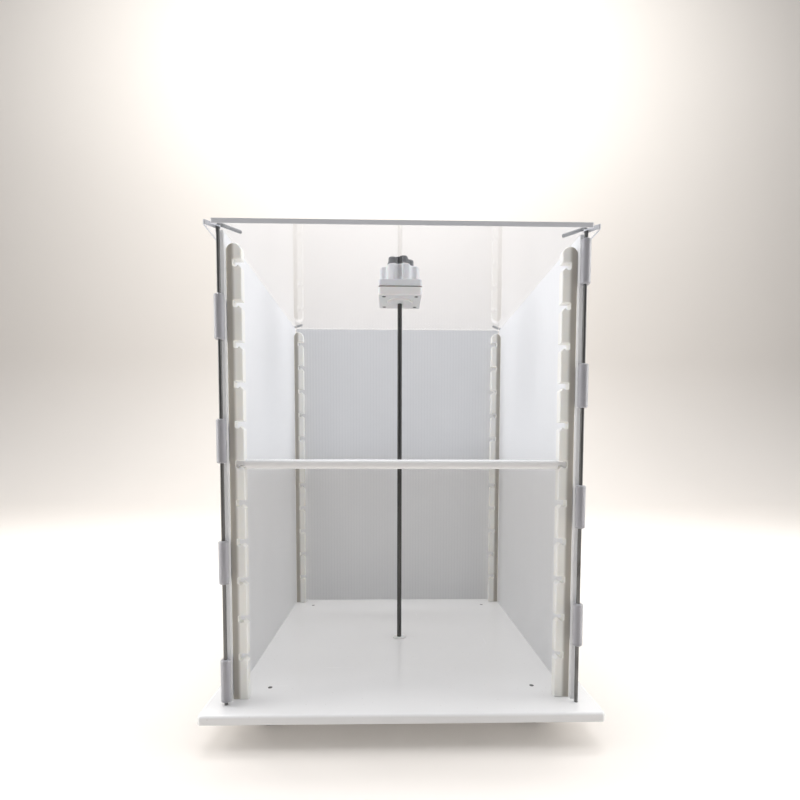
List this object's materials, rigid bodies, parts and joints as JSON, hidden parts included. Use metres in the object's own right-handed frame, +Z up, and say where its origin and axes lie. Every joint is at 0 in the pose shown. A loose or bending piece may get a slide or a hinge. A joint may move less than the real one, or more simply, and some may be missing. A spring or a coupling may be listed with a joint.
{
  "type": "open-front plastic display box",
  "caption": "Open-front white plastic box with fluted walls on corner hinge pins, a clear lid, a notched-rail shelf and a central tie rod with a knob.",
  "frame": {"origin": "middle of the footprint, on the surface that the rubber feet stand on", "axes": "+Z up, -Y out of the open front, +X to the right for someone who faces the open front"},
  "size_m": [0.33, 0.33, 0.4569],
  "materials": {
    "white_sheet": "solid white plastic sheet, satin to semi-gloss, edges rounded",
    "fluted_sheet": "translucent white twin-wall sheet with fine upright flutes",
    "rail_plastic": "machined white plastic, slightly warm and translucent",
    "hinge_plastic": "semi-clear grey plastic tube",
    "pin_steel": "drawn steel wire and rod",
    "clear_sheet": "clear polished plastic sheet with blue-grey edges",
    "clamp_plastic": "white plastic",
    "black_plastic": "fine-textured black plastic",
    "screw_steel": "plated steel screws, nuts and washers",
    "brass": "turned brass bush",
    "rubber": "moulded dark rubber"
  },
  "bodies": {
    "housing": {"base_plate": "white_sheet", "foot_front_left": "rubber", "foot_front_right": "rubber", "foot_rear_left": "rubber", "foot_rear_right": "rubber", "foot_screws": "screw_steel", "left_wall": "fluted_sheet", "right_wall": "fluted_sheet", "rear_wall": "fluted_sheet", "left_wall_front_knuckles": "hinge_plastic", "left_wall_rear_knuckles": "hinge_plastic", "right_wall_front_knuckles": "hinge_plastic", "right_wall_rear_knuckles": "hinge_plastic", "rear_wall_left_knuckles": "hinge_plastic", "rear_wall_right_knuckles": "hinge_plastic", "front_left_rail": "rail_plastic", "front_right_rail": "rail_plastic", "rear_left_rail": "rail_plastic", "rear_right_rail": "rail_plastic", "top_plate": "clear_sheet", "tie_rod": "pin_steel", "floor_washer": "clamp_plastic", "rod_bottom_washer": "screw_steel", "rod_bottom_nut": "screw_steel", "clamp_lower_block": "clamp_plastic", "clamp_upper_block": "clamp_plastic", "clamp_screws": "screw_steel"},
    "shelf": {"shelf": "white_sheet"},
    "pin_front_left": {"hinge_pin_front_left": "pin_steel"},
    "pin_front_right": {"hinge_pin_front_right": "pin_steel"},
    "pin_rear_left": {"hinge_pin_rear_left": "pin_steel"},
    "pin_rear_right": {"hinge_pin_rear_right": "pin_steel"},
    "wheel": {"lobed_wheel": "clamp_plastic", "wheel_nut": "screw_steel"},
    "knob": {"black_knob": "black_plastic", "knob_insert": "brass"}
  },
  "joints": [
    {"name": "shelf_slide", "type": "slide", "parent": "housing", "child": "shelf", "axis": [0, -1, 0], "range_m": [0, 0.25]},
    {"name": "pin_turn_front_left", "type": "hinge", "parent": "housing", "child": "pin_front_left", "pos_m": [-0.147, -0.147, 0.42], "axis": [0, 0, 1], "continuous": true},
    {"name": "pin_turn_front_right", "type": "hinge", "parent": "housing", "child": "pin_front_right", "pos_m": [0.147, -0.147, 0.42], "axis": [0, 0, 1], "continuous": true},
    {"name": "pin_turn_rear_left", "type": "hinge", "parent": "housing", "child": "pin_rear_left", "pos_m": [-0.147, 0.147, 0.42], "axis": [0, 0, 1], "continuous": true},
    {"name": "pin_turn_rear_right", "type": "hinge", "parent": "housing", "child": "pin_rear_right", "pos_m": [0.147, 0.147, 0.42], "axis": [0, 0, 1], "continuous": true},
    {"name": "wheel_turn", "type": "hinge", "parent": "housing", "child": "wheel", "pos_m": [0, 0, 0.438], "axis": [0, 0, 1], "continuous": true},
    {"name": "knob_turn", "type": "hinge", "parent": "housing", "child": "knob", "pos_m": [0, 0, 0.452], "axis": [0, 0, 1], "continuous": true}
  ]
}
